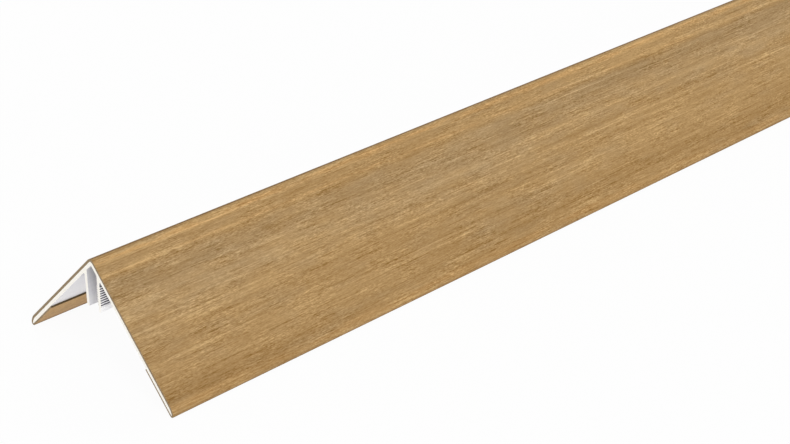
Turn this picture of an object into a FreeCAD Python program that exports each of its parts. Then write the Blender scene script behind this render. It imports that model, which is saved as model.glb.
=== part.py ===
"""Outside corner profile for wall cladding: one length of extruded trim.

The stock is a right-angled plastic corner strip. A white core carries two
ribs inside the corner, one plain and one with catch teeth, that snap over a
fixing strip. A wood-look cover layer lies on both outer faces, wraps round
the tip of each leg and returns a short way along the inner face.

The piece lies as it would on a level floor: on the tips of its two legs,
corner upwards, with its length along Y. The origin is at floor level, midway
between the legs and midway along the length.
"""

import FreeCAD
import Part

import math
import os

# Stock length and the size of the corner
STOCK_LENGTH = 3000.0
LEG_LENGTH = 60.0

# Layers: the white core and the wood-look cover on it, which thins as it folds in
CORE_WALL = 1.31
COVER_THICKNESS = 0.94
COVER_TIP_THICKNESS = 0.8
COVER_RETURN = 18.5
COVER_RETURN_THICKNESS = 0.68

# Radii of the core at its corner and where each outer face turns in to the tip
CORNER_RADIUS = 1.36
INNER_CORNER_RADIUS = 0.5
TIP_FACE_RADIUS = 5.56

# Radii of the lower edge of each leg tip, on the core and on the cover
CORE_EDGE_RADIUS = 0.25
COVER_EDGE_RADIUS = 1.0

# Clip ribs inside the corner
CHANNEL_WIDTH = 5.6
PLAIN_RIB_WALL = 1.35
TOOTHED_RIB_WALL = 1.25
RIB_DEPTH = 20.0
RIB_EDGE_RADIUS = 0.25
RIB_ROOT_RADIUS = 0.5

# Catch teeth on both faces of the toothed rib, and the smooth taper below them
TOOTH_COUNT = 9
TOOTH_PITCH = 0.9
TOOTH_REACH = 0.6
TOOTH_REACH_INSIDE = 0.5
TOOTH_BASE = 0.6
TOOTH_TIP = 0.2
TOOTH_LEAN = 0.2
LEAD_IN = 2.65
LEAD_IN_WALL = 0.65
TAPER_HEIGHT = 2.1

# Values that follow from the sizes above
WALL = COVER_THICKNESS + CORE_WALL
TIP_WALL = WALL + COVER_RETURN_THICKNESS
CORNER_OUTER_RADIUS = CORNER_RADIUS + COVER_THICKNESS
ROOT_TWO = math.sqrt(2.0)
FALL = 1.0 / ROOT_TWO

# Height of the sharp outer corner above the floor that the leg tips stand on
EDGE_CENTRE = LEG_LENGTH - COVER_EDGE_RADIUS, TIP_WALL - COVER_EDGE_RADIUS
CORNER_HEIGHT = sum(EDGE_CENTRE) * FALL + COVER_EDGE_RADIUS


def leg_point(side, along, depth):
    """Point of the section: distance down a leg, and depth below its outer face."""
    x = side * (along - depth) * FALL
    z = CORNER_HEIGHT - (along + depth) * FALL
    return FreeCAD.Vector(x, 0.0, z)


def arc_point(side, centre, radius, angle):
    """Point on an arc of a leg tip, turning from the outer face to the inner one."""
    along = centre[0] + radius * math.sin(angle)
    depth = centre[1] - radius * math.cos(angle)
    return leg_point(side, along, depth)


def arc(side, centre, radius, start, end):
    """Arc of a leg tip between two angles."""
    middle = 0.5 * (start + end)
    points = [arc_point(side, centre, radius, angle) for angle in (start, middle, end)]
    return Part.Arc(*points).toShape()


def line(start, end):
    """Straight edge of the section."""
    return Part.LineSegment(start, end).toShape()


def leg_edges(side, faces, radii, end):
    """Edges of one leg, from the corner down the outer face and round the tip.

    The faces are the depths of the outer and the inner face, the radii those of
    the large arc beside the outer face and the small one beside the inner face,
    and the end is the distance down the leg to the tip. The two arcs meet in a
    tangent. Returns the edges and the point on the inner face where they end.
    """
    small = (end - radii[1], faces[1] - radii[1])
    rise = faces[0] + radii[0] - small[1]
    reach = math.sqrt((radii[0] - radii[1]) ** 2 - rise ** 2)
    large = (small[0] - reach, faces[0] + radii[0])
    turn = math.atan2(reach, rise)

    face_start = leg_point(side, CORNER_OUTER_RADIUS, faces[0])
    face_end = leg_point(side, large[0], faces[0])
    inner_end = leg_point(side, small[0], faces[1])
    edges = [
        line(face_start, face_end),
        arc(side, large, radii[0], 0.0, turn),
        arc(side, small, radii[1], turn, math.pi),
    ]
    return edges, inner_end


def core_leg(side):
    """Edges of one leg along the surface of the core, under the cover."""
    faces = (COVER_THICKNESS, WALL)
    radii = (TIP_FACE_RADIUS, CORE_EDGE_RADIUS)
    return leg_edges(side, faces, radii, LEG_LENGTH - COVER_TIP_THICKNESS)


def cover_leg(side):
    """Edges of one leg along the outside of the cover."""
    faces = (0.0, TIP_WALL)
    radii = (TIP_FACE_RADIUS + COVER_THICKNESS, COVER_EDGE_RADIUS)
    return leg_edges(side, faces, radii, LEG_LENGTH)


def corner_edge(inset):
    """Rounded outer corner between the two legs."""
    radius = CORNER_OUTER_RADIUS - inset
    centre = leg_point(1, CORNER_OUTER_RADIUS, CORNER_OUTER_RADIUS)
    top = centre + FreeCAD.Vector(0.0, 0.0, radius)
    start = leg_point(-1, CORNER_OUTER_RADIUS, inset)
    end = leg_point(1, CORNER_OUTER_RADIUS, inset)
    return Part.Arc(start, top, end).toShape()


def face_of(edges):
    """Flat face inside a closed loop of edges."""
    return Part.Face(Part.Wire(Part.__sortEdges__(edges)))


def extrude(face):
    """Stock length of a section, centred along Y."""
    face.translate(FreeCAD.Vector(0.0, -0.5 * STOCK_LENGTH, 0.0))
    return face.extrude(FreeCAD.Vector(0.0, STOCK_LENGTH, 0.0))


def cover_section():
    """Cover layer: over the corner, down both legs, round the tips and back."""
    edges = [corner_edge(0.0), corner_edge(COVER_THICKNESS)]
    for side in (-1, 1):
        outside, outside_end = cover_leg(side)
        inside, inside_end = core_leg(side)
        edges += outside + inside
        return_outside = leg_point(side, LEG_LENGTH - COVER_RETURN, TIP_WALL)
        return_inside = leg_point(side, LEG_LENGTH - COVER_RETURN, WALL)
        edges.append(line(outside_end, return_outside))
        edges.append(line(inside_end, return_inside))
        edges.append(line(return_outside, return_inside))
    return face_of(edges)


def angle_section():
    """The two legs of the core, with a rounded inner corner."""
    edges = [corner_edge(COVER_THICKNESS)]
    fillet = WALL + INNER_CORNER_RADIUS
    starts = []
    for side in (-1, 1):
        outside, outside_end = core_leg(side)
        start = leg_point(side, fillet, WALL)
        edges += outside
        edges.append(line(outside_end, start))
        starts.append(start)
    centre = leg_point(1, fillet, fillet)
    top = centre + FreeCAD.Vector(0.0, 0.0, INNER_CORNER_RADIUS)
    edges.append(Part.Arc(starts[0], top, starts[1]).toShape())
    return face_of(edges)


def rib_foot_height():
    """Level of the free edge of both ribs."""
    return CORNER_HEIGHT - RIB_DEPTH


def wall_height(x):
    """Level inside the wall of the leg above a rib, midway through the core."""
    return CORNER_HEIGHT - abs(x) - (COVER_THICKNESS + 0.5 * CORE_WALL) * ROOT_TWO


def polygon(points):
    """Flat face inside straight lines between points given as x and z."""
    corners = [FreeCAD.Vector(x, 0.0, z) for x, z in points]
    return Part.Face(Part.makePolygon(corners + corners[:1]))


def plain_rib_section(inner_x, outer_x):
    """Plain rib: a thin plate from the leg down to its free edge."""
    foot = rib_foot_height()
    return polygon([
        (inner_x, wall_height(inner_x)),
        (inner_x, foot),
        (outer_x, foot),
        (outer_x, wall_height(outer_x)),
    ])


def toothed_rib_section(inner_x, outer_x):
    """Body of the toothed rib, which tapers on its outer face below the teeth."""
    foot = rib_foot_height()
    return polygon([
        (inner_x, wall_height(inner_x)),
        (inner_x, foot),
        (inner_x + LEAD_IN_WALL, foot),
        (outer_x, foot + TAPER_HEIGHT),
        (outer_x, wall_height(outer_x)),
    ])


def tooth_section(face_x, outwards, reach, level):
    """One catch tooth: a short barb on a rib face, hooked back towards the corner."""
    root_x = face_x - outwards * 0.5 * TOOTHED_RIB_WALL
    tip_x = face_x + outwards * reach
    tip = level + TOOTH_LEAN
    return polygon([
        (root_x, level - 0.5 * TOOTH_BASE),
        (face_x, level - 0.5 * TOOTH_BASE),
        (tip_x, tip - 0.5 * TOOTH_TIP),
        (tip_x, tip + 0.5 * TOOTH_TIP),
        (face_x, level + 0.5 * TOOTH_BASE),
        (root_x, level + 0.5 * TOOTH_BASE),
    ])


def edges_along(solid, points, tolerance=0.02):
    """Long edges of an extruded solid that pass through given section points."""
    found = []
    for edge in solid.Edges:
        first, last = edge.Vertexes[0].Point, edge.Vertexes[-1].Point
        if abs(abs(last.y - first.y) - STOCK_LENGTH) > tolerance:
            continue
        for point in points:
            if math.hypot(first.x - point[0], first.z - point[1]) < tolerance:
                found.append(edge)
    return found


def core():
    """White core: the angle with its plain rib and its toothed rib."""
    foot = rib_foot_height()
    half = 0.5 * CHANNEL_WIDTH
    plain_x = -half - PLAIN_RIB_WALL
    toothed_x = half + TOOTHED_RIB_WALL

    pieces = [plain_rib_section(-half, plain_x), toothed_rib_section(half, toothed_x)]
    for index in range(TOOTH_COUNT):
        level = foot + LEAD_IN + index * TOOTH_PITCH
        pieces.append(tooth_section(toothed_x, 1, TOOTH_REACH, level))
        pieces.append(tooth_section(half, -1, TOOTH_REACH_INSIDE, level))
    angle = extrude(angle_section())
    solid = angle.multiFuse([extrude(piece) for piece in pieces]).removeSplitter()

    feet = [(x, foot) for x in (-half, plain_x, half, half + LEAD_IN_WALL)]
    solid = solid.makeFillet(RIB_EDGE_RADIUS, edges_along(solid, feet))
    roots = []
    for x in (-half, plain_x, half, toothed_x):
        roots.append((x, CORNER_HEIGHT - abs(x) - WALL * ROOT_TWO))
    return solid.makeFillet(RIB_ROOT_RADIUS, edges_along(solid, roots))


def cover():
    """Wood-look cover layer, one wrapped strip."""
    return extrude(cover_section())


def main():
    """Build each piece and write it to its own file."""
    os.makedirs("parts", exist_ok=True)
    pieces = {"core": core(), "cover": cover()}
    for name, shape in pieces.items():
        if not shape.isValid() or len(shape.Solids) != 1:
            raise ValueError(name + " is not one valid solid")
        shape.exportStep("parts/" + name + ".step")
        box = shape.BoundBox
        print(name, round(shape.Volume, 1), [round(v, 2) for v in (box.XLength, box.YLength, box.ZLength, box.ZMin)])


main()
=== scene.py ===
"""Looks of an outside corner profile for wall cladding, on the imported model's frame.

Two pieces stand for the two solids of the frame: the white core with its plain
rib and its toothed rib, and the wood-look cover that wraps it. Each is drawn as
one closed section, which is then drawn out to the stock length.
"""

import logging
import math
import operator
from dataclasses import dataclass, replace
from enum import Enum
from functools import reduce
from typing import Any, Dict, Iterable, List, Optional, Sequence, Tuple, Union

import bmesh
import bpy
from mathutils import Euler, Matrix, Vector


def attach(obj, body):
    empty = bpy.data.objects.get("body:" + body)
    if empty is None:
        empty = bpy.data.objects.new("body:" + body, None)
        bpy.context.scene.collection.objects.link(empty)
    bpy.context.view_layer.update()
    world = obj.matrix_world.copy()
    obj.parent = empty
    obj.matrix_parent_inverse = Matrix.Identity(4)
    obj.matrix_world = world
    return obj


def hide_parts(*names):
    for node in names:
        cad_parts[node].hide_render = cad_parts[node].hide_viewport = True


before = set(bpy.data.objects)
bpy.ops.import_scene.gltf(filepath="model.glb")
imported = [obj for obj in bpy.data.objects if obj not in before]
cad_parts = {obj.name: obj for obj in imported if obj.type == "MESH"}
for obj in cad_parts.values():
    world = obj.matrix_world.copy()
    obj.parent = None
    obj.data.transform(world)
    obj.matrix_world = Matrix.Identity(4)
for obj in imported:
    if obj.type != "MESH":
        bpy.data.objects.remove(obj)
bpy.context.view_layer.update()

logging.basicConfig(level=logging.INFO, format="%(message)s")
LOG = logging.getLogger("corner_profile")

MM = 0.001
ROOT_TWO = math.sqrt(2.0)
FALL = 1.0 / ROOT_TWO

# Names of the UV map and of the vertex attribute that the finishes read; the attribute holds the core's
# painted shade and painted highlight
DEVELOPED = "developed"
PAINTED_SHADING = "painted_shading"

# Numbers of the Mix node's colour sockets, which share their names with others
MIX_FIRST, MIX_SECOND, MIX_RESULT = 6, 7, 2

Triple = Tuple[float, float, float]
Colour = Tuple[float, float, float, float]
Number = Union[float, "Wire"]
Tint = Union[Colour, "Wire"]

WHITE: Colour = (1.0, 1.0, 1.0, 1.0)


def tone(red: float, green: float, blue: float) -> Colour:
    """Linear colour from the 0 to 255 values that it should show as.

    Args:
        red: Red value on screen.
        green: Green value on screen.
        blue: Blue value on screen.

    Returns:
        The colour as a shader takes it, with an alpha of 1.
    """
    shown = [value / 255.0 for value in (red, green, blue)]
    low, slope, shift, power = 0.04045, 12.92, 0.055, 2.4
    linear = [v / slope if v <= low else ((v + shift) / (1.0 + shift)) ** power for v in shown]
    return linear[0], linear[1], linear[2], 1.0


class Wire:
    """Output of a shader node, on which Python's operators add Math nodes."""

    def __init__(self, graph: "Graph", socket: Optional[bpy.types.NodeSocket]) -> None:
        """Keep the socket and the graph that it belongs to."""
        self.graph = graph
        self.socket = socket

    def __add__(self, other: Number) -> "Wire":
        """Sum of two values."""
        return self.graph.maths("ADD", self, other)

    __radd__ = __add__

    def __sub__(self, other: Number) -> "Wire":
        """This value less another."""
        return self.graph.maths("SUBTRACT", self, other)

    def __rsub__(self, other: Number) -> "Wire":
        """Another value less this one."""
        return self.graph.maths("SUBTRACT", other, self)

    def __mul__(self, other: Number) -> "Wire":
        """Product of two values."""
        return self.graph.maths("MULTIPLY", self, other)

    __rmul__ = __mul__

    def __abs__(self) -> "Wire":
        """Size of the value, without its sign."""
        return self.graph.maths("ABSOLUTE", self)

    def sibling(self, output: str) -> "Wire":
        """Another output of the same node."""
        return Wire(self.graph, self.socket.node.outputs[output])


def total(parts: Iterable[Wire]) -> Wire:
    """Sum of one value or more."""
    return reduce(operator.add, parts)


class Graph:
    """Nodes of one material or world, all made by one method."""

    def __init__(self, owner: Union[bpy.types.Material, bpy.types.World]) -> None:
        """Empty the owner's node tree and keep it.

        Args:
            owner: Material or world whose nodes are made here.
        """
        owner.use_nodes = True
        self.tree = owner.node_tree
        self.tree.nodes.clear()

    def node(
        self,
        kind: str,
        settings: Optional[Dict[str, Any]] = None,
        sockets: Optional[Dict[Any, Any]] = None,
        output: Union[int, str] = 0,
    ) -> Wire:
        """Add one node, with its settings first and then its sockets.

        Args:
            kind: Name of the node's type.
            settings: Properties of the node; "stops" fills a colour ramp.
            sockets: Values or wires for the inputs, by name or number.
            output: Name or number of the output that is returned.

        Returns:
            The chosen output, or a wire with no socket where the node has none.
        """
        made = self.tree.nodes.new(kind)
        for name, value in (settings or {}).items():
            if name == "stops":
                self.fill_ramp(made.color_ramp, value)
            else:
                setattr(made, name, value)
        for name, value in (sockets or {}).items():
            if isinstance(value, Wire):
                self.tree.links.new(value.socket, made.inputs[name])
            else:
                made.inputs[name].default_value = value
        return Wire(self, made.outputs[output] if len(made.outputs) else None)

    @staticmethod
    def fill_ramp(ramp: bpy.types.ColorRamp, stops: Sequence[Tuple[float, Colour]]) -> None:
        """Give a colour ramp its stops.

        Args:
            ramp: Ramp with its two first stops.
            stops: Position and colour of each stop, in order.
        """
        while len(ramp.elements) < len(stops):
            ramp.elements.new(1.0)
        for element, (position, colour) in zip(ramp.elements, stops):
            element.position = position
            element.color = colour

    def maths(self, operation: str, *values: Number) -> Wire:
        """Math node on one, two or three values."""
        return self.node("ShaderNodeMath", {"operation": operation}, dict(enumerate(values)))

    def blend(self, amount: Number, first: Tint, second: Tint) -> Wire:
        """Mix of two colours: the first where the amount is 0, the second where it is 1."""
        sockets = {0: amount, MIX_FIRST: first, MIX_SECOND: second}
        return self.node("ShaderNodeMix", {"data_type": "RGBA"}, sockets, MIX_RESULT)

    def bump(self, height: Wire, distance: float, strength: float) -> Wire:
        """Normal that follows a height field, whose distance is in millimetres."""
        sockets = {"Height": height, "Distance": distance * MM, "Strength": strength}
        return self.node("ShaderNodeBump", {}, sockets)


@dataclass(frozen=True)
class Slope:
    """Smooth change of a value.

    Attributes:
        start: Value at which the change begins.
        end: Value at which it is over.
        low: Result up to the start.
        high: Result from the end on.
    """

    start: float
    end: float
    low: float = 0.0
    high: float = 1.0

    def moved(self, distance: float) -> "Slope":
        """The same slope, further on by a distance."""
        return replace(self, start=self.start + distance, end=self.end + distance)

    def on(self, value: Wire) -> Wire:
        """Result for a value."""
        sockets = {0: value, 1: self.start, 2: self.end, 3: self.low, 4: self.high}
        return value.graph.node("ShaderNodeMapRange", {"interpolation_type": "SMOOTHSTEP"}, sockets)


@dataclass(frozen=True)
class Noise:
    """Soft noise at one scale.

    Attributes:
        scale: Features in one unit of the coordinates, along each axis.
        shift: Shift along each axis, which sets it apart from other noise.
        detail: Number of finer levels on top.
        roughness: Weight of a finer level against the one before it.
    """

    scale: Triple
    shift: Triple
    detail: float
    roughness: float = 0.5

    def on(self, place: Wire) -> Wire:
        """Noise between 0 and 1.

        Args:
            place: Coordinates that it is laid out on.

        Returns:
            The noise.
        """
        graph = place.graph
        settings = {"operation": "MULTIPLY_ADD"}
        spot = graph.node("ShaderNodeVectorMath", settings, {0: place, 1: self.scale, 2: self.shift})
        sockets = {"Vector": spot, "Scale": 1.0, "Detail": self.detail, "Roughness": self.roughness}
        return graph.node("ShaderNodeTexNoise", {"noise_dimensions": "3D"}, sockets, "Fac")

    def signed(self, place: Wire, weight: float) -> Wire:
        """Noise about 0, within half a weight on either side."""
        return (self.on(place) - 0.5) * weight


@dataclass(frozen=True)
class Patches:
    """Soft patches: noise that is made distinct by a slope."""

    noise: Noise
    slope: Slope

    def on(self, place: Wire) -> Wire:
        """Value of the patches at some coordinates."""
        return self.slope.on(self.noise.on(place))


@dataclass(frozen=True)
class Stripe:
    """Soft stripe that runs along the length of the cover.

    Attributes:
        centre: Developed distance from the corner in millimetres, negative on the -X leg.
        width: Distance from the centre at which the stripe has faded out.
        strength: Value at the centre, negative where the stripe is darker.
    """

    centre: float
    width: float
    strength: float

    def moved(self, distance: float) -> "Stripe":
        """The same stripe, further from the corner by a distance."""
        return replace(self, centre=self.centre + distance)

    def on(self, across: Wire) -> Wire:
        """Value of the stripe at a distance across the cover."""
        return Slope(0.0, self.width, 1.0, 0.0).on(abs(across - self.centre)) * self.strength


@dataclass(frozen=True)
class GrainLayer:
    """One size of grain in the print.

    Attributes:
        width: Size of its features across the grain, in millimetres.
        length: Size of its features along the grain, in millimetres.
        detail: Number of finer levels on top.
        weight: How strong it is, negative where it draws dark lines.
        seed: Shift that sets it apart from the other layers.
    """

    width: float
    length: float
    detail: float
    weight: float
    seed: float

    @property
    def noise(self) -> Noise:
        """Noise of this size on coordinates in millimetres."""
        return Noise((1.0 / self.width, 1.0 / self.length, 0.0), (self.seed,) * 3, self.detail)


@dataclass(frozen=True)
class Palette:
    """Three tones of the print, from its dark grain to its light grain."""

    dark: Colour
    middle: Colour
    light: Colour

    def on(self, value: Wire) -> Wire:
        """Colour of a grain value, with the middle tone at 0.5."""
        stops = ((0.0, self.dark), (0.5, self.middle), (1.0, self.light))
        return value.graph.node("ShaderNodeValToRGB", {"stops": stops}, {0: value})


class Finish:
    """Finish of a surface, which makes one material."""

    name: str

    def sockets(self, graph: Graph) -> Dict[str, Any]:
        """Inputs of the shader of this finish."""
        raise NotImplementedError

    def material(self) -> bpy.types.Material:
        """Make the material.

        Returns:
            The material, with a Principled shader at its end.
        """
        made = bpy.data.materials.new(self.name)
        graph = Graph(made)
        surface = graph.node("ShaderNodeBsdfPrincipled", {}, self.sockets(graph))
        graph.node("ShaderNodeOutputMaterial", {}, {"Surface": surface})
        LOG.info("finish %s: %d nodes", self.name, len(graph.tree.nodes))
        return made


@dataclass(frozen=True)
class OakGrain:
    """Light and dark of the print, as values about 0.

    Attributes:
        calm: Patches in which the flecks are weaker or stronger.
        thin_slope: Part of a layer's noise that shows as a thin line.
        fade: Patches in which the stripes are weaker or stronger.
    """

    broad: Tuple[GrainLayer, ...] = (
        GrainLayer(15.0, 300.0, 2.0, 0.28, 3.5),
        GrainLayer(8.0, 60.0, 1.0, 0.17, 7.5),
        GrainLayer(1.6, 180.0, 1.0, 0.23, 11.5),
    )
    fine: Tuple[GrainLayer, ...] = (
        GrainLayer(0.25, 150.0, 1.0, 0.33, 17.5),
        GrainLayer(0.45, 12.0, 1.0, 0.40, 23.5),
        GrainLayer(0.27, 3.5, 1.0, 0.55, 37.5),
        GrainLayer(0.28, 1.2, 1.0, 0.82, 41.5),
    )
    calm: Patches = Patches(Noise((0.16, 0.05, 0.0), (1.0, 9.0, 0.0), 1.0), Slope(0.36, 0.64, 0.68, 1.36))
    thin: Tuple[GrainLayer, ...] = (
        GrainLayer(0.42, 40.0, 0.0, 0.17, 53.5),
        GrainLayer(0.36, 18.0, 0.0, -0.21, 59.5),
    )
    thin_slope: Slope = Slope(0.66, 0.80)
    stripes: Tuple[Stripe, ...] = (
        Stripe(1.3, 1.2, 0.13),
        Stripe(2.6, 1.5, 0.13),
        Stripe(4.8, 1.6, -0.03),
        Stripe(5.9, 1.2, 0.045),
        Stripe(7.45, 0.9, 0.17),
        Stripe(9.6, 1.1, -0.08),
        Stripe(13.8, 5.8, -0.085),
        Stripe(17.5, 0.7, 0.02),
        Stripe(18.7, 1.0, -0.05),
        Stripe(22.6, 4.4, 0.085),
        Stripe(27.3, 1.7, -0.075),
        Stripe(29.5, 0.7, 0.15),
        Stripe(31.8, 1.2, 0.06),
        Stripe(33.9, 1.2, -0.075),
        Stripe(38.8, 2.4, 0.03),
        Stripe(41.5, 1.0, 0.055),
        Stripe(46.8, 3.0, -0.04),
        Stripe(49.7, 0.9, -0.05),
        Stripe(51.8, 1.5, -0.10),
        Stripe(52.0, 7.0, -0.10),
        Stripe(54.6, 3.0, -0.075),
        Stripe(58.0, 1.5, -0.035),
        Stripe(-2.8, 1.6, 0.10),
        Stripe(-6.5, 1.2, -0.08),
        Stripe(-11.0, 0.8, 0.08),
        Stripe(-19.0, 6.0, 0.06),
        Stripe(-27.5, 0.9, 0.12),
        Stripe(-29.4, 1.6, -0.07),
        Stripe(-37.0, 1.0, 0.05),
        Stripe(-46.0, 7.0, -0.08),
    )
    fade: Patches = Patches(Noise((0.08, 0.006, 0.0), (6.0, 3.0, 0.0), 2.0), Slope(0.25, 0.75, 0.45, 1.55))

    def bands(self, place: Wire) -> Wire:
        """Sum of the broad layers."""
        return total(layer.noise.signed(place, layer.weight) for layer in self.broad)

    def flecks(self, place: Wire) -> Wire:
        """Sum of the fine layers, weaker in the calm patches."""
        fine = total(layer.noise.signed(place, layer.weight) for layer in self.fine)
        return fine * self.calm.on(place)

    def hairs(self, place: Wire) -> Wire:
        """Sum of the thin lines, above 0 where a line is light."""
        return total(self.thin_slope.on(layer.noise.on(place)) * layer.weight for layer in self.thin)

    def striping(self, place: Wire, across: Wire) -> Wire:
        """Sum of the stripes, which come and go along the length."""
        return total(stripe.on(across) for stripe in self.stripes) * self.fade.on(place)


@dataclass(frozen=True)
class OakWarmth:
    """Share of the honey tones of the print against the cool ones.

    Attributes:
        beside: Share next to the corner, by the distance down the +X leg.
        down: Share that is added further down the +X leg.
        far_band: Cool band on the -X leg.
        bands_weight: How much warmer the light bands of the grain are.
    """

    beside: Slope = Slope(8.4, 10.6, 0.8, 0.1)
    down: Slope = Slope(10.0, 36.0, 0.0, 0.75)
    far_band: Stripe = Stripe(-32.0, 12.0, -0.5)
    broad: Noise = Noise((0.06, 0.011, 0.0), (2.0, 5.0, 0.0), 1.0)
    broad_weight: float = 1.1
    small: Noise = Noise((0.22, 0.06, 0.0), (7.0, 2.0, 0.0), 2.0)
    small_weight: float = 1.6
    bands_weight: float = 2.2

    def share(self, place: Wire, across: Wire, bands: Wire) -> Wire:
        """Share of the honey tones.

        Args:
            place: Developed coordinates in millimetres.
            across: Developed distance from the corner.
            bands: Broad bands of the grain.

        Returns:
            The share, which may be below 0 or above 1.
        """
        lengthwise = self.beside.on(across) + self.down.on(across) + self.far_band.on(across)
        broad = self.broad.signed(place, self.broad_weight)
        small = self.small.signed(place, self.small_weight)
        return lengthwise + broad + small + bands * self.bands_weight


@dataclass(frozen=True)
class WoodFinish(Finish):
    """Printed oak look of the cover, laid out in millimetres on its developed surface.

    Attributes:
        tip: Developed distance from the corner to the bottom of a leg tip.
        edge: Developed distance from the corner to the free edge of the return.
        plain_value: Grain value of the print between its light and dark parts.
        drift: Noise of the slow wander of the grain, on coordinates in metres.
        wander: Width of that wander.
        fold: Slope from the outer face to the return, measured from the tip.
        painted_return_light: Painted light on the return: how much lighter its grain value is than on the
            outer face.
        corner_glow: Amber stripe beside the corner, on both legs.
        line_glow: Amber stripe down the +X leg.
        tip_glow: Amber stripe above the tip, measured from the tip.
        glow_patches: Patches in which the amber stripes show.
        painted_ridge_shade_start: Slope into the painted shade on the -X side of the rounded corner.
        painted_ridge_shade_end: Slope out of that painted shade.
        painted_tip_shade: Painted shade round the tip, measured from the tip.
        raw_edge: Slope to the return's edge, measured from that edge, whose dark colour is the layer's own
            brown deepened by painted shade.
    """

    tip: float
    edge: float
    name: str = "wood_foil"
    grain: OakGrain = OakGrain()
    warmth: OakWarmth = OakWarmth()
    cool: Palette = Palette(tone(125, 93, 43), tone(165, 136, 95), tone(206, 176, 130))
    honey: Palette = Palette(tone(129, 91, 33), tone(168, 134, 86), tone(210, 175, 121))
    amber: Palette = Palette(tone(136, 92, 33), tone(175, 135, 82), tone(218, 177, 119))
    # Colour of the painted shade along the corner and round the tips
    painted_edge_shade: Colour = tone(92, 62, 30)
    # Dark colour of the return's edge: the layer's own brown deepened by painted shade
    raw_edge_with_painted_shade: Colour = tone(84, 67, 40)
    plain_value: float = 0.485
    drift: Noise = Noise((8.0, 3.2, 0.0), (4.1, 7.3, 0.0), 1.0)
    wander: float = 0.7
    fold: Slope = Slope(0.0, 3.0)
    # Painted light on the return, which faces into the shade
    painted_return_light: float = 0.075
    fold_glow: float = 0.45
    corner_glow: Stripe = Stripe(2.2, 2.0, 1.0)
    line_glow: Stripe = Stripe(7.5, 1.2, 0.5)
    tip_glow: Stripe = Stripe(-4.0, 2.0, 0.5)
    glow_patches: Patches = Patches(Noise((0.5, 0.05, 0.0), (9.0, 1.0, 0.0), 2.0), Slope(0.3, 0.6))
    pores: Patches = Patches(Noise((3.4, 0.09, 0.0), (5.0, 8.0, 2.0), 1.0), Slope(0.66, 0.76))
    pore_share: float = 0.3
    pore_depth: float = 0.7
    painted_ridge_shade_start: Slope = Slope(-2.3, -1.5)
    painted_ridge_shade_end: Slope = Slope(-0.15, 0.40)
    painted_ridge_shade_share: float = 0.57
    painted_tip_shade: Stripe = Stripe(0.0, 2.8, 0.75)
    raw_edge: Slope = Slope(-0.25, -0.1)
    relief: float = 0.08
    relief_strength: float = 0.6
    roughness: float = 0.55
    fleck_roughness: float = 0.15
    # Extra roughness where the shade is painted along the corner and round the tips
    painted_edge_shade_roughness: float = 0.5
    specular: float = 0.2

    def layout(self, graph: Graph) -> Tuple[Wire, Wire, Wire]:
        """Developed coordinates of the cover, with a slow wander across the grain.

        Args:
            graph: Graph of the material.

        Returns:
            The coordinates as a vector, the distance from the corner with the
            wander and the distance without it, all in millimetres.
        """
        flat = graph.node("ShaderNodeUVMap", {"uv_map": DEVELOPED})
        parts = graph.node("ShaderNodeSeparateXYZ", {}, {0: flat}, "X")
        along = parts.sibling("Y") * (1.0 / MM)
        straight = parts * (1.0 / MM)
        across = straight + self.drift.signed(flat, self.wander)
        place = graph.node("ShaderNodeCombineXYZ", {}, {0: across, 1: along, 2: 0.0})
        return place, across, straight

    def glow(self, place: Wire, across: Wire, out: Wire, folded: Wire) -> Wire:
        """Share of the amber tones.

        Args:
            place: Developed coordinates in millimetres.
            across: Developed distance from the corner, with its sign.
            out: The same distance without its sign and without the wander.
            folded: 1 on the return, 0 on the outer face.

        Returns:
            The share.
        """
        lines = self.corner_glow.on(out) + self.line_glow.on(across)
        lines = lines + self.tip_glow.moved(self.tip).on(out)
        return lines * self.glow_patches.on(place) + folded * self.fold_glow

    def painted_edge_shading(self, straight: Wire, out: Wire) -> Wire:
        """Share of the painted shade on the -X side of the rounded corner and round the tips."""
        corner = self.painted_ridge_shade_start.on(straight) * (1.0 - self.painted_ridge_shade_end.on(straight))
        return corner * self.painted_ridge_shade_share + self.painted_tip_shade.moved(self.tip).on(out)

    def sockets(self, graph: Graph) -> Dict[str, Any]:
        """Inputs of the shader: colour, roughness and relief of the print.

        Args:
            graph: Graph of the material.

        Returns:
            The inputs by name.
        """
        place, across, straight = self.layout(graph)
        out = abs(straight)
        bands = self.grain.bands(place)
        flecks = self.grain.flecks(place)
        folded = self.fold.moved(self.tip).on(out)
        value = bands + flecks + self.grain.hairs(place) + self.grain.striping(place, across)
        # The return's grain value is lifted as painted light on that inner face
        value = value + self.plain_value + folded * self.painted_return_light

        honey = self.warmth.share(place, across, bands)
        colour = graph.blend(honey, self.cool.on(value), self.honey.on(value))
        colour = graph.blend(self.glow(place, across, out, folded), colour, self.amber.on(value))
        pores = self.pores.on(place)
        colour = graph.blend(pores * self.pore_share, colour, self.honey.dark)
        # Painted shade along the rounded corner and round the tips
        painted_edge_shade = self.painted_edge_shading(straight, out)
        colour = graph.blend(painted_edge_shade, colour, self.painted_edge_shade)
        # Painted shade over the layer's own brown at the return's edge
        colour = graph.blend(self.raw_edge.moved(self.edge).on(out), colour, self.raw_edge_with_painted_shade)
        varied = flecks * self.fleck_roughness + painted_edge_shade * self.painted_edge_shade_roughness
        height = bands + flecks - pores * self.pore_depth
        return {
            "Base Color": colour,
            "Roughness": self.roughness + varied,
            "Specular IOR Level": self.specular,
            "Normal": graph.bump(height, self.relief, self.relief_strength),
        }


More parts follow.
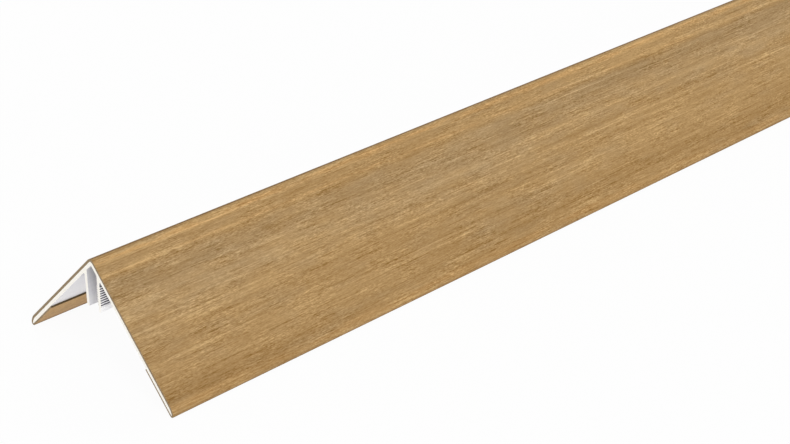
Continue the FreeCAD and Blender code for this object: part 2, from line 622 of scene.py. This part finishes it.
@dataclass(frozen=True)
class CutLayerFinish(Finish):
    """Sawn end of the cover: the body of the layer under its print."""

    name: str = "cover_cut_end"
    body: Colour = tone(145, 123, 90)
    streak: Colour = tone(119, 99, 69)
    mottle: Noise = Noise((1800.0, 400.0, 1800.0), (3.0, 0.0, 1.0), 3.0, 0.6)
    streaks: Slope = Slope(0.35, 0.7)
    roughness: float = 0.6
    relief: float = 0.05
    relief_strength: float = 0.5

    def sockets(self, graph: Graph) -> Dict[str, Any]:
        """Inputs of the shader: a mottled colour and a faint relief.

        Args:
            graph: Graph of the material.

        Returns:
            The inputs by name.
        """
        mottle = self.mottle.on(graph.node("ShaderNodeTexCoord", {}, {}, "Object"))
        return {
            "Base Color": graph.blend(self.streaks.on(mottle), self.body, self.streak),
            "Roughness": self.roughness,
            "Normal": graph.bump(mottle, self.relief, self.relief_strength),
        }


class Surface(Enum):
    """Kinds of surface on the white core, with the names of their materials."""

    DRAWN = "core_drawn"
    SAWN = "core_sawn"


@dataclass(frozen=True)
class Marks:
    """Marks that the die or the saw leaves on the plastic.

    Attributes:
        relief: Height of the marks, in millimetres.
        light: Colour between the marks.
        dark: Colour of the marks.
    """

    noise: Noise
    relief: float
    light: Colour
    dark: Colour
    roughness: float


MARKS: Dict[Surface, Marks] = {
    Surface.DRAWN: Marks(
        noise=Noise((1400.0, 3.0, 1400.0), (1.0, 2.0, 3.0), 3.0, 0.6),
        relief=0.006,
        light=tone(240, 239, 240),
        dark=tone(230, 229, 234),
        roughness=0.38,
    ),
    Surface.SAWN: Marks(
        noise=Noise((260.0, 900.0, 3600.0), (1.0, 2.0, 3.0), 3.0, 0.6),
        relief=0.03,
        light=tone(252, 249, 241),
        dark=tone(245, 240, 230),
        roughness=0.58,
    ),
}


@dataclass(frozen=True)
class PlasticFinish(Finish):
    """White plastic of the core, as drawn from the die or as sawn at an end.

    Attributes:
        marking: Part of the marks' noise that shows as a mark.
        painted_shade_tone: Colour of the painted shade in the recesses of the drawn surface.
        painted_shade_share: Share of that painted shade where a recess is deepest.
        painted_highlight_tone: Colour of the painted highlight on the parts that stand out of the drawn
            surface.
        painted_highlight_share: Share of that painted highlight where a part stands out most.
        varied: How much the roughness varies with the marks.
    """

    surface: Surface
    marking: Slope = Slope(0.3, 0.75)
    painted_shade_tone: Colour = tone(54, 50, 58)
    painted_shade_share: float = 0.95
    painted_highlight_tone: Colour = tone(253, 253, 253)
    painted_highlight_share: float = 0.7
    relief_strength: float = 0.4
    varied: float = 0.2

    @property
    def name(self) -> str:
        """Name of the material."""
        return self.surface.value

    def shaded(self, graph: Graph, colour: Wire) -> Wire:
        """Colour of the drawn surface, with painted shade in its recesses and a painted highlight where it
        stands out.

        Args:
            graph: Graph of the material.
            colour: Colour on the flat.

        Returns:
            The colour with its shade.
        """
        settings = {"attribute_type": "GEOMETRY", "attribute_name": PAINTED_SHADING}
        painted_shading = graph.node("ShaderNodeAttribute", settings, {}, "Fac")
        # Painted shade where the attribute is above 0, then painted highlight where it is below 0
        colour = graph.blend(painted_shading * self.painted_shade_share, colour, self.painted_shade_tone)
        return graph.blend(painted_shading * -self.painted_highlight_share, colour, self.painted_highlight_tone)

    def sockets(self, graph: Graph) -> Dict[str, Any]:
        """Inputs of the shader: colour, roughness and relief of the marked plastic.

        Args:
            graph: Graph of the material.

        Returns:
            The inputs by name.
        """
        marks = MARKS[self.surface]
        lines = marks.noise.on(graph.node("ShaderNodeTexCoord", {}, {}, "Object"))
        colour = graph.blend(self.marking.on(lines), marks.light, marks.dark)
        if self.surface is Surface.DRAWN:
            colour = self.shaded(graph, colour)
        return {
            "Base Color": colour,
            "Roughness": marks.roughness + (lines - 0.5) * self.varied,
            "Normal": graph.bump(lines, marks.relief, self.relief_strength),
        }


@dataclass(frozen=True)
class Rounding:
    """How a corner of a section is rounded, and the painted shade or painted highlight of the plastic
    there.

    Attributes:
        radius: Radius in millimetres, or 0 for a sharp corner.
        steps: Number of straight pieces in the rounding.
        painted_shading: Painted shade on the plastic, up to 1 where a recess is deepest, and painted
            highlight down to -1 where it stands out.
    """

    radius: float = 0.0
    steps: int = 6
    painted_shading: float = 0.0


SHARP = Rounding()


@dataclass(frozen=True)
class Corner:
    """Corner of a section outline, at a place and a height in millimetres."""

    x: float
    z: float
    rounding: Rounding = SHARP

    def point(self, y: float) -> Vector:
        """Place of the sharp corner in metres, at a distance along the length."""
        return Vector((self.x * MM, y, self.z * MM))


@dataclass
class Section:
    """Sizes that the two pieces share, in millimetres, and points on a leg.

    Attributes:
        leg: Distance from the sharp outer corner to the end of a leg.
        skin: Thickness of the cover on an outer face.
        fold: Thickness of the cover on a return.
        tip_skin: Thickness of the cover at the end of a leg.
        wall: Thickness of a leg from its outer face to the inner face of the core.
        tip_large: Radius of the large arc of a tip, over the cover.
        tip_small: Radius of the small arc of a tip, over the cover.
        core_tip_small: Radius of the small arc of a tip, on the core.
    """

    length: float = 3000.0
    leg: float = 60.0
    skin: float = 0.94
    fold: float = 0.68
    tip_skin: float = 0.8
    wall: float = 2.25
    corner_radius: float = 2.3
    corner_steps: int = 20
    core_corner_steps: int = 16
    tip_large: float = 6.5
    tip_large_steps: int = 10
    tip_small: float = 1.0
    tip_small_steps: int = 14
    core_tip_small: float = 0.25

    @property
    def tip_wall(self) -> float:
        """Thickness of a leg tip over the cover on both sides."""
        return self.wall + self.fold

    @property
    def top(self) -> float:
        """Height of the sharp outer corner above the floor."""
        drop = self.leg - self.tip_small + self.tip_wall - self.tip_small
        return drop * FALL + self.tip_small

    def on_leg(self, side: int, along: float, depth: float, rounding: Rounding = SHARP) -> Corner:
        """Corner on a leg.

        Args:
            side: 1 for the leg on the +X side, -1 for the other.
            along: Distance down the leg from the sharp outer corner.
            depth: Depth below the outer face.
            rounding: How the corner is rounded.

        Returns:
            The corner.
        """
        x = side * (along - depth) * FALL
        return Corner(x, self.top - (along + depth) * FALL, rounding)

    def tip(self, side: int, of_core: bool) -> List[Corner]:
        """Two corners of a leg tip, from its outer face to its inner one.

        Args:
            side: 1 for the leg on the +X side, -1 for the other.
            of_core: Whether it is the tip of the core, or the outside of the cover.

        Returns:
            The corner with the large radius, then the one with the small radius.
        """
        outer = self.skin if of_core else 0.0
        inner = self.wall if of_core else self.tip_wall
        large = self.tip_large - outer
        small = self.core_tip_small if of_core else self.tip_small
        end = self.leg - small - (self.tip_skin if of_core else 0.0)
        rise = outer + large - inner + small
        reach = math.sqrt((large - small) ** 2 - rise ** 2)
        turn = math.atan2(reach, rise)
        first = end - reach + large * math.tan(0.5 * turn)
        second = end + small * math.tan(0.5 * (math.pi - turn))
        return [
            self.on_leg(side, first, outer, Rounding(large, self.tip_large_steps)),
            self.on_leg(side, second, inner, Rounding(small, self.tip_small_steps)),
        ]

    def peak(self, depth: float, rounding: Rounding) -> Corner:
        """Corner where the two legs meet, at a depth below the outer faces."""
        return Corner(0.0, self.top - depth * ROOT_TWO, rounding)

    def outer_peak(self) -> Corner:
        """Top of the cover."""
        return self.peak(0.0, Rounding(self.corner_radius, self.corner_steps))

    def core_peak(self) -> Corner:
        """Top of the core, which the cover lies on."""
        return self.peak(self.skin, Rounding(self.corner_radius - self.skin, self.core_corner_steps))


class Outline:
    """Closed outline of a section, drawn by runs and turns and then drawn out.

    Attributes:
        touching: Distance under which two places are one vertex, in metres.
        end_facing: Least part of its normal that a sawn end has along the length.
        smooth_angle: Angle under which two faces are shaded as one surface.
    """

    touching: float = 1e-6
    end_facing: float = 0.9
    smooth_angle: float = math.radians(32.0)
    ease_segments: int = 2

    def __init__(self, corners: Sequence[Corner], length: float) -> None:
        """Draw the outline at the near end and extrude it.

        Args:
            corners: Corners in order round the section.
            length: Length of the piece, in metres.
        """
        self.near = -0.5 * length
        self.mesh = bmesh.new()
        self.walk = self.mesh.verts.layers.float.new("walk")
        # Painted shade (above 0) and painted highlight (below 0) of the plastic, per vertex
        self.painted_shading = self.mesh.verts.layers.float.new(PAINTED_SHADING)
        self.draw(corners)
        self.face = bmesh.ops.edgeloop_fill(self.mesh, edges=self.mesh.edges[:])["faces"][0]
        self.girth = self.measure()
        self.extrude(length)

    def draw(self, corners: Sequence[Corner]) -> None:
        """Draw every run and turn, from midway before the first corner.

        Args:
            corners: Corners in order round the section.
        """
        points = [corner.point(self.near) for corner in corners]
        start = 0.5 * (points[-1] + points[0])
        first = pen = bmesh.ops.create_vert(self.mesh, co=start)["vert"][0]
        for index, corner in enumerate(corners):
            here = points[index]
            after = points[(index + 1) % len(points)]
            arrive = (here - points[index - 1]).normalized()
            leave = (after - here).normalized()
            turn = arrive.angle(leave)
            radius = corner.rounding.radius * MM
            pen = self.run(pen, here - arrive * radius * math.tan(0.5 * turn))
            pen[self.painted_shading] = corner.rounding.painted_shading
            if radius > 0.0:
                inwards = (leave - arrive * arrive.dot(leave)).normalized()
                centre = pen.co + inwards * radius
                pen = self.turn(pen, centre, arrive.cross(leave), turn, corner.rounding.steps)
        self.mesh.edges.new((pen, first))

    def run(self, pen: bmesh.types.BMVert, end: Vector) -> bmesh.types.BMVert:
        """Straight run from a vertex to a place.

        Args:
            pen: Vertex that the run starts from.
            end: Place that it goes to.

        Returns:
            The vertex there, which is the first one where that is there already.
        """
        if (end - pen.co).length < self.touching:
            return pen
        made = bmesh.ops.extrude_vert_indiv(self.mesh, verts=[pen])["verts"][0]
        made.co = end
        return made

    def turn(
        self, pen: bmesh.types.BMVert, centre: Vector, axis: Vector, angle: float, steps: int
    ) -> bmesh.types.BMVert:
        """Arc from a vertex round a centre.

        Args:
            pen: Vertex that the arc starts from.
            centre: Centre of the arc.
            axis: Axis that the arc turns about.
            angle: Angle of the arc.
            steps: Number of straight pieces.

        Returns:
            The vertex that the arc ends at.
        """
        spun = bmesh.ops.spin(
            self.mesh, geom=[pen], cent=centre, axis=axis.normalized(), angle=angle, steps=steps
        )
        return [item for item in spun["geom_last"] if isinstance(item, bmesh.types.BMVert)][0]

    def measure(self) -> float:
        """Write the developed distance from the outer corner on every vertex.

        Returns:
            The length of the whole outline, in metres.
        """
        distance = 0.0
        for loop in self.face.loops:
            loop.vert[self.walk] = distance
            distance += loop.edge.calc_length()
        peak = max(self.face.verts, key=lambda vert: vert.co.z)
        widest = max(self.face.verts, key=lambda vert: vert.co.x)
        zero = peak[self.walk]
        sign = 1.0 if widest[self.walk] > zero else -1.0
        for vert in self.face.verts:
            vert[self.walk] = sign * (vert[self.walk] - zero)
        return distance

    def extrude(self, length: float) -> None:
        """Draw the section out along the length and close both ends.

        Args:
            length: Length of the piece, in metres.
        """
        grown = bmesh.ops.extrude_face_region(self.mesh, geom=[self.face], use_keep_orig=True)["geom"]
        moved = [item for item in grown if isinstance(item, bmesh.types.BMVert)]
        bmesh.ops.translate(self.mesh, verts=moved, vec=(0.0, length, 0.0))
        bmesh.ops.recalc_face_normals(self.mesh, faces=self.mesh.faces[:])

    def ends(self) -> List[bmesh.types.BMFace]:
        """Faces of the two sawn ends."""
        return [face for face in self.mesh.faces if abs(face.normal.y) > self.end_facing]

    def develop(self) -> None:
        """Lay the surface out flat in a UV map, in metres across and along."""
        layer = self.mesh.loops.layers.uv.new(DEVELOPED)
        for face in self.mesh.faces:
            values = [loop.vert[self.walk] for loop in face.loops]
            crosses_seam = max(values) - min(values) > 0.5 * self.girth
            for loop, value in zip(face.loops, values):
                lift = self.girth if crosses_seam and value < 0.0 else 0.0
                loop[layer].uv = (value + lift, loop.vert.co.y)

    def distance_near(self, corner: Corner) -> float:
        """Developed distance of the vertex that is nearest to a place of the section.

        Args:
            corner: The place.

        Returns:
            The distance from the outer corner, in millimetres.
        """
        point = corner.point(self.near)
        closest = min(self.mesh.verts, key=lambda vert: (vert.co - point).length)
        return abs(closest[self.walk]) / MM

    def ease(self, amount: float) -> None:
        """Take the sharpness off the edges of the sawn ends.

        Args:
            amount: Width of the eased edge, in metres.
        """
        edges = list({edge for face in self.ends() for edge in face.edges})
        bmesh.ops.bevel(
            self.mesh, geom=edges, offset=amount, offset_type="OFFSET", affect="EDGES",
            segments=self.ease_segments, profile=0.5, material=-1, clamp_overlap=True,
        )

    def finish(self, name: str, sides: Finish, cut: Finish) -> bpy.types.Object:
        """Turn the bmesh into a dressed piece of the scene.

        Args:
            name: Name of the piece.
            sides: Finish of the drawn surfaces.
            cut: Finish of the sawn ends.

        Returns:
            The object.
        """
        caps = self.ends()
        for face in self.mesh.faces:
            face.smooth = True
        for face in caps:
            face.smooth = False
            face.material_index = 1
        bmesh.ops.triangulate(self.mesh, faces=caps)
        for edge in self.mesh.edges:
            edge.smooth = edge.calc_face_angle(0.0) < self.smooth_angle
        data = bpy.data.meshes.new(name)
        self.mesh.to_mesh(data)
        self.mesh.free()
        data.materials.append(sides.material())
        data.materials.append(cut.material())
        piece = bpy.data.objects.new(name, data)
        bpy.context.scene.collection.objects.link(piece)
        return piece


@dataclass
class Core:
    """White core: two legs, a plain rib and a toothed rib inside the corner.

    Attributes:
        inner_corner: Corner between the legs, in the channel.
        rib_depth: Distance from the sharp outer corner down to the ribs' free edges.
        channel_foot: Free edge of the plain rib towards the channel, with painted shade.
        lead_in_foot: Outer free edge of the toothed rib, with a painted highlight.
        root_outside: Corner of a rib's outer face and the leg, with painted shade.
        root_in_plain: Corner of the plain rib and the leg, in the channel, with painted shade.
        root_in_toothed: Corner of the toothed rib and the leg, in the channel, with painted shade.
        shade_run: Distance across the section from a root to where the leg is hardly shaded.
        shade_end: Shade of the leg there.
        tooth_lean: How far the tip of a tooth is above the middle of its base.
        lead_in: Height of the lowest tooth above the free edge.
        taper: Height over which the toothed rib grows to its full wall.
    """

    section: Section
    inner_corner: Rounding = Rounding(0.5, 10)
    channel: float = 5.6
    plain_wall: float = 1.35
    toothed_wall: float = 1.25
    rib_depth: float = 20.0
    rib_foot: Rounding = Rounding(0.25)
    channel_foot: Rounding = Rounding(0.25, painted_shading=0.2)
    lead_in_foot: Rounding = Rounding(0.25, painted_shading=-1.0)
    root_outside: Rounding = Rounding(0.5, painted_shading=0.35)
    root_in_plain: Rounding = Rounding(0.5, painted_shading=0.42)
    root_in_toothed: Rounding = Rounding(0.5, painted_shading=0.4)
    shade_run: float = 4.5
    shade_end: Rounding = Rounding(painted_shading=0.11)
    teeth: int = 9
    pitch: float = 0.9
    reach: float = 0.6
    reach_inside: float = 0.5
    tooth_base: float = 0.6
    tooth_tip: float = 0.2
    tooth_lean: float = 0.2
    # Full painted shade at the roots of the teeth
    tooth_root: Rounding = Rounding(0.06, 2, 1.0)
    # Painted highlight on the edges of the teeth
    tooth_edge: Rounding = Rounding(0.05, 3, -1.0)
    lead_in: float = 2.65
    lead_in_wall: float = 0.65
    taper: float = 2.1
    # Painted highlight where the taper of the lead-in starts
    taper_start: Rounding = Rounding(0.3, 3, -1.0)
    eased: float = 0.035

    @property
    def foot(self) -> float:
        """Height of the free edge of both ribs."""
        return self.section.top - self.rib_depth

    def under_leg(self, x: float, rounding: Rounding) -> Corner:
        """Corner on the inner face of a leg, at a place across the section."""
        return Corner(x, self.section.top - abs(x) - self.section.wall * ROOT_TWO, rounding)

    def shade_stop(self, x: float) -> Corner:
        """Place on a leg, away from the root of a rib face, where its shade ends."""
        return self.under_leg(x + math.copysign(self.shade_run, x), self.shade_end)

    def tooth(self, face: float, outwards: int, reach: float, level: float) -> List[Corner]:
        """Corners of one tooth, from its top edge down to its lower edge.

        Args:
            face: Place of the rib face across the section.
            outwards: 1 where the tooth points to +X, -1 where it points to -X.
            reach: How far the tooth stands out.
            level: Height of the middle of its base.

        Returns:
            Four corners.
        """
        half = 0.5 * self.tooth_base
        blunt = 0.5 * self.tooth_tip
        point = face + outwards * reach
        tip = level + self.tooth_lean
        return [
            Corner(face, level + half, self.tooth_root),
            Corner(point, tip + blunt, self.tooth_edge),
            Corner(point, tip - blunt, self.tooth_edge),
            Corner(face, level - half, self.tooth_root),
        ]

    def toothed_rib(self) -> List[Corner]:
        """Corners of the toothed rib.

        Returns:
            The corners, down its outer face and up its inner one.
        """
        inner = 0.5 * self.channel
        outer = inner + self.toothed_wall
        levels = [self.foot + self.lead_in + index * self.pitch for index in range(self.teeth)]
        corners = [self.shade_stop(outer), self.under_leg(outer, self.root_outside)]
        for level in reversed(levels):
            corners += self.tooth(outer, 1, self.reach, level)
        corners += [
            Corner(outer, self.foot + self.taper, self.taper_start),
            Corner(inner + self.lead_in_wall, self.foot, self.lead_in_foot),
            Corner(inner, self.foot, self.rib_foot),
        ]
        for level in levels:
            corners += reversed(self.tooth(inner, -1, self.reach_inside, level))
        return corners + [self.under_leg(inner, self.root_in_toothed)]

    def plain_rib(self) -> List[Corner]:
        """Corners of the plain rib.

        Returns:
            The corners, down its inner face and up its outer one.
        """
        inner = -0.5 * self.channel
        outer = inner - self.plain_wall
        return [
            self.under_leg(inner, self.root_in_plain),
            Corner(inner, self.foot, self.channel_foot),
            Corner(outer, self.foot, self.rib_foot),
            self.under_leg(outer, self.root_outside),
            self.shade_stop(outer),
        ]

    def build(self) -> bpy.types.Object:
        """Make the piece and dress it.

        Returns:
            The object.
        """
        section = self.section
        corners = [section.core_peak()]
        corners += section.tip(1, True)
        corners += self.toothed_rib()
        corners += [section.peak(section.wall, self.inner_corner)]
        corners += self.plain_rib()
        corners += reversed(section.tip(-1, True))
        outline = Outline(corners, section.length * MM)
        outline.ease(self.eased * MM)
        return outline.finish("core_profile", PlasticFinish(Surface.DRAWN), PlasticFinish(Surface.SAWN))


@dataclass
class Cover:
    """Wood-look cover, wrapped over the corner and round both leg tips.

    Attributes:
        turned_in: Length of the return on the inner face of a leg.
        raw_edge: Both corners of the free edge of the return.
    """

    section: Section
    turned_in: float = 18.5
    raw_edge: Rounding = Rounding(0.12, 3)
    eased: float = 0.03

    def build(self) -> bpy.types.Object:
        """Make the piece and dress it.

        Returns:
            The object.
        """
        section = self.section
        stop = section.leg - self.turned_in
        paths = []
        for side in (-1, 1):
            path = section.tip(side, True)
            for face in (section.wall, section.tip_wall):
                path.append(section.on_leg(side, stop, face, self.raw_edge))
            paths.append(path + section.tip(side, False)[::-1])
        corners = [section.core_peak()] + paths[0] + [section.outer_peak()] + paths[1][::-1]
        outline = Outline(corners, section.length * MM)
        outline.ease(self.eased * MM)
        outline.develop()
        bottom = outline.distance_near(section.on_leg(1, section.leg, section.tip_wall))
        # Developed distance of the return's edge, where the painted shade goes
        raw_edge_with_painted_shade = outline.distance_near(section.on_leg(1, stop, section.tip_wall))
        return outline.finish("cover_wrap", WoodFinish(bottom, raw_edge_with_painted_shade), CutLayerFinish())


@dataclass(frozen=True)
class Lamp:
    """Wide and distant soft lamp.

    Attributes:
        place: Direction that it shines from.
        spread: How wide it looks from the floor, in degrees.
    """

    name: str
    energy: float
    place: Triple
    spread: float

    def build(self) -> None:
        """Make the lamp."""
        data = bpy.data.lights.new(self.name, "SUN")
        data.energy = self.energy
        data.angle = math.radians(self.spread)
        lamp = bpy.data.objects.new(self.name, data)
        lamp.rotation_mode = "QUATERNION"
        lamp.rotation_quaternion = Vector(self.place).to_track_quat("Z", "Y")
        bpy.context.scene.collection.objects.link(lamp)


@dataclass
class Studio:
    """Pale floor, soft light and the camera.

    Angles are in degrees, the lens and its sensor in millimetres and places in metres.

    Attributes:
        ambient: Strength of the even light from all round.
        floor_share: Share of the floor's paint that even the camera sees.
        floor_glow: Share of the glow that every ray sees.
    """

    azimuth: float = 45.825
    elevation: float = 27.889
    roll: float = 0.484
    lens: float = 79.565
    sensor: float = 36.0
    place: Triple = (0.43361, -1.78034, 0.32624)
    clip_start: float = 0.01
    ambient: float = 0.42
    lamps: Tuple[Lamp, ...] = (
        Lamp("key", 1.20, (0.74, -0.18, 0.65), 24.0),
        Lamp("fill", 1.15, (0.45, -0.88, 0.10), 24.0),
        Lamp("back", 0.6, (-0.60, 0.50, 0.60), 40.0),
    )
    floor_side: float = 40.0
    floor_paint: Colour = tone(250, 250, 250)
    floor_share: float = 0.05
    floor_glow: float = 0.5

    def floor(self) -> bpy.types.Object:
        """Flat pale floor.

        Returns:
            The object.
        """
        mesh = bmesh.new()
        bmesh.ops.create_grid(mesh, x_segments=1, y_segments=1, size=0.5 * self.floor_side)
        data = bpy.data.meshes.new("floor")
        mesh.to_mesh(data)
        mesh.free()
        data.materials.append(self.floor_material())
        piece = bpy.data.objects.new("floor", data)
        bpy.context.scene.collection.objects.link(piece)
        return piece

    def floor_material(self) -> bpy.types.Material:
        """White paint with a glow in it, so that it looks white but keeps a soft shadow.

        Returns:
            The material.
        """
        made = bpy.data.materials.new("floor_white")
        graph = Graph(made)
        paint = graph.node("ShaderNodeBsdfDiffuse", {}, {"Color": self.floor_paint})
        glow = graph.node("ShaderNodeEmission", {}, {"Color": WHITE, "Strength": 1.0})
        share = self.seen(graph) * (1.0 - self.floor_share - self.floor_glow) + self.floor_glow
        surface = graph.node("ShaderNodeMixShader", {}, {0: share, 1: paint, 2: glow})
        graph.node("ShaderNodeOutputMaterial", {}, {"Surface": surface})
        return made

    @staticmethod
    def seen(graph: Graph) -> Wire:
        """Whether a ray shows the background: from the camera, a gloss or a glass.

        Args:
            graph: Graph of the floor's material or of the world.

        Returns:
            1 for such a ray, 0 for any other.
        """
        camera = graph.node("ShaderNodeLightPath", {}, {}, "Is Camera Ray")
        gloss = camera.sibling("Is Glossy Ray")
        glass = camera.sibling("Is Transmission Ray")
        return graph.maths("MAXIMUM", graph.maths("MAXIMUM", camera, gloss), glass)

    def light(self) -> None:
        """Even white surroundings and the soft lamps."""
        world = bpy.data.worlds.new("surroundings")
        bpy.context.scene.world = world
        graph = Graph(world)
        strength = self.ambient + (1.0 - self.ambient) * self.seen(graph)
        white = graph.node("ShaderNodeBackground", {}, {"Color": WHITE, "Strength": strength})
        graph.node("ShaderNodeOutputWorld", {}, {"Surface": white})
        for lamp in self.lamps:
            lamp.build()

    def camera(self) -> None:
        """Camera at the photograph's viewing angle."""
        data = bpy.data.cameras.new("camera")
        data.lens = self.lens
        data.sensor_width = self.sensor
        data.clip_start = self.clip_start
        camera = bpy.data.objects.new("camera", data)
        tilt = math.radians(90.0 - self.elevation)
        turned = Euler((tilt, 0.0, math.radians(self.azimuth))).to_matrix()
        turned = turned @ Matrix.Rotation(math.radians(self.roll), 3, "Z")
        camera.matrix_world = Matrix.Translation(self.place) @ turned.to_4x4()
        bpy.context.scene.collection.objects.link(camera)
        bpy.context.scene.camera = camera

    def build(self) -> None:
        """Make the floor, the light and the camera."""
        self.floor()
        self.light()
        self.camera()
        bpy.context.scene.view_settings.view_transform = "Standard"


def place_piece(piece: bpy.types.Object, node: str) -> None:
    """Put a piece in the frame in place of a solid.

    Args:
        piece: The dressed piece.
        node: Solid that it stands for.
    """
    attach(piece, "root")
    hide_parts(node)


def main() -> None:
    """Build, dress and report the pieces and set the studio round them."""
    section = Section()
    parts = ((Core(section), "core", "core_plastic"), (Cover(section), "cover", "wood_cover"))
    for part, node, slot in parts:
        piece = part.build()
        place_piece(piece, node)
        LOG.info("piece %s: %d faces, in place of %s", piece.name, len(piece.data.polygons), node)
    Studio().build()


if __name__ == "__main__":
    main()
